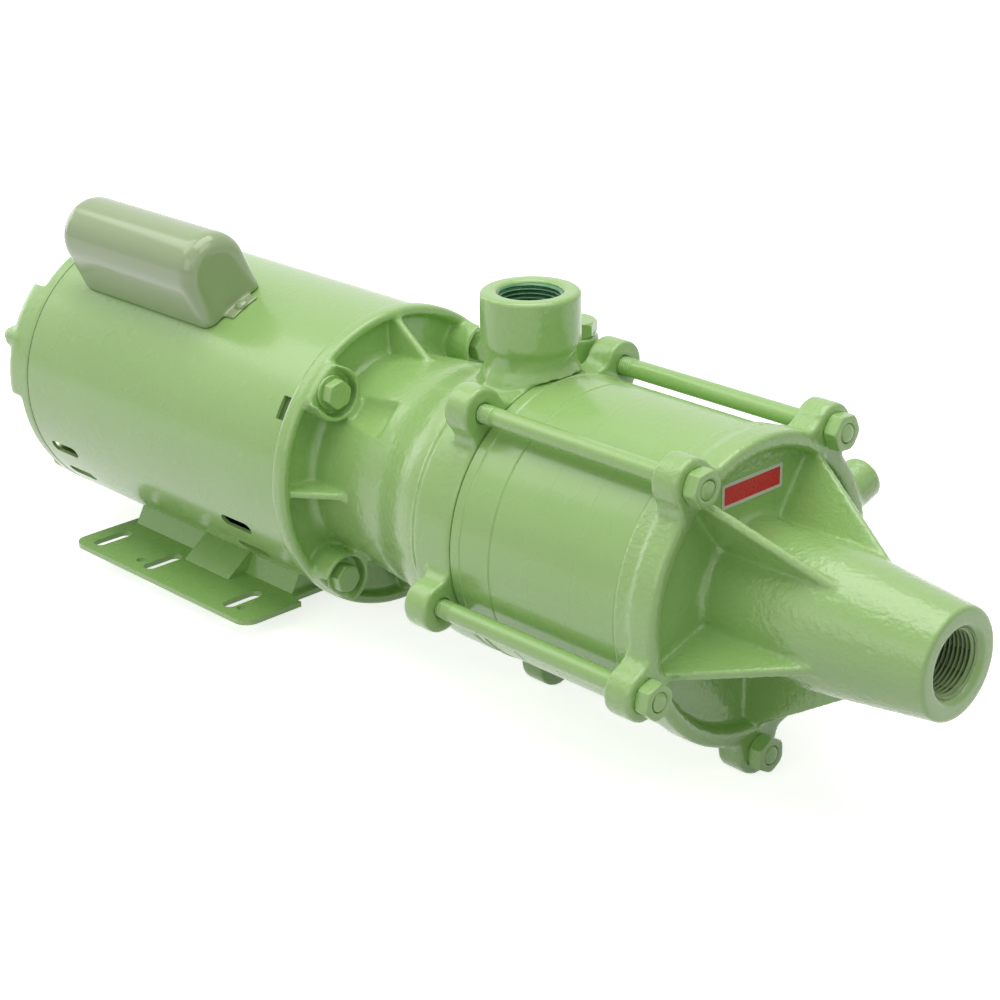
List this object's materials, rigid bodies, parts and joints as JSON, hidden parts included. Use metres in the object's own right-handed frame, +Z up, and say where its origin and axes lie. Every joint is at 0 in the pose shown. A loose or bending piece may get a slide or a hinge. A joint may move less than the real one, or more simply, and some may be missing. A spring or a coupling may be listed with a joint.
{
  "type": "multistage centrifugal pump",
  "caption": "Close-coupled multistage centrifugal pump with its electric motor, tie-rod stage casings, threaded suction nose, upright threaded outlet and slotted foot.",
  "frame": {"origin": "on the underside of the foot plate, below the shaft, midway between its outer slots", "axes": "+X along the shaft from the motor to the suction nose, +Z up through the outlet, +Y to the left when looking along +X"},
  "size_m": [0.6495, 0.189, 0.2156],
  "materials": {
    "green_paint": "glossy enamel over castings and rolled sheet, slightly uneven",
    "cover_paint": "glossy enamel on pressed sheet, a little greyer",
    "machined_steel": "turned and ground",
    "laminated_iron": "stacked laminations",
    "copper_winding": "varnished enamelled wire",
    "cast_bronze": "as cast, machined rims",
    "cast_alloy": "die cast",
    "dark_plastic": "moulded",
    "black_rubber": "moulded nitrile rubber",
    "seat_ceramic": "lapped face"
  },
  "bodies": {
    "pump": {"motor_frame": "green_paint", "foot_plate": "green_paint", "foot_saddle": "green_paint", "rear_end_bell": "green_paint", "front_end_shield": "green_paint", "motor_through_bolts": "green_paint", "stator_core": "laminated_iron", "stator_windings": "copper_winding", "rear_bearing_outer_ring": "machined_steel", "front_bearing_outer_ring": "machined_steel", "switch_board": "dark_plastic", "capacitor_cover": "cover_paint", "start_capacitor": "dark_plastic", "capacitor_cover_screws": "machined_steel", "seal_seat": "seat_ceramic", "seal_seat_gasket": "black_rubber", "discharge_bracket": "green_paint", "bracket_bolts": "green_paint", "bracket_bolt_washers": "green_paint", "stage_casing_1": "green_paint", "stage_casing_2": "green_paint", "stage_casing_3": "green_paint", "stage_casing_4": "green_paint", "diffuser_1": "cast_bronze", "diffuser_2": "cast_bronze", "diffuser_3": "cast_bronze", "diffuser_4": "cast_bronze", "casing_o_rings": "black_rubber", "suction_cover": "green_paint", "tie_rods": "green_paint", "tie_rod_nuts": "green_paint", "priming_plug": "green_paint", "drain_plug": "green_paint"},
    "rotor": {"pump_shaft": "machined_steel", "rotor_core": "laminated_iron", "rotor_end_rings": "cast_alloy", "rear_bearing_inner_ring": "machined_steel", "rear_bearing_ball_set": "machined_steel", "front_bearing_inner_ring": "machined_steel", "front_bearing_ball_set": "machined_steel", "cooling_fan": "dark_plastic", "switch_weight": "dark_plastic", "water_deflector": "black_rubber", "seal_head": "dark_plastic", "seal_spring": "machined_steel", "seal_collar": "machined_steel", "impeller_1": "cast_bronze", "impeller_2": "cast_bronze", "impeller_3": "cast_bronze", "impeller_4": "cast_bronze", "shaft_spacers": "machined_steel", "impeller_key": "machined_steel", "impeller_nut": "machined_steel"}
  },
  "joints": [
    {"name": "shaft_spin", "type": "hinge", "parent": "pump", "child": "rotor", "pos_m": [0, 0, 0.0889], "axis": [1, 0, 0], "continuous": true}
  ]
}
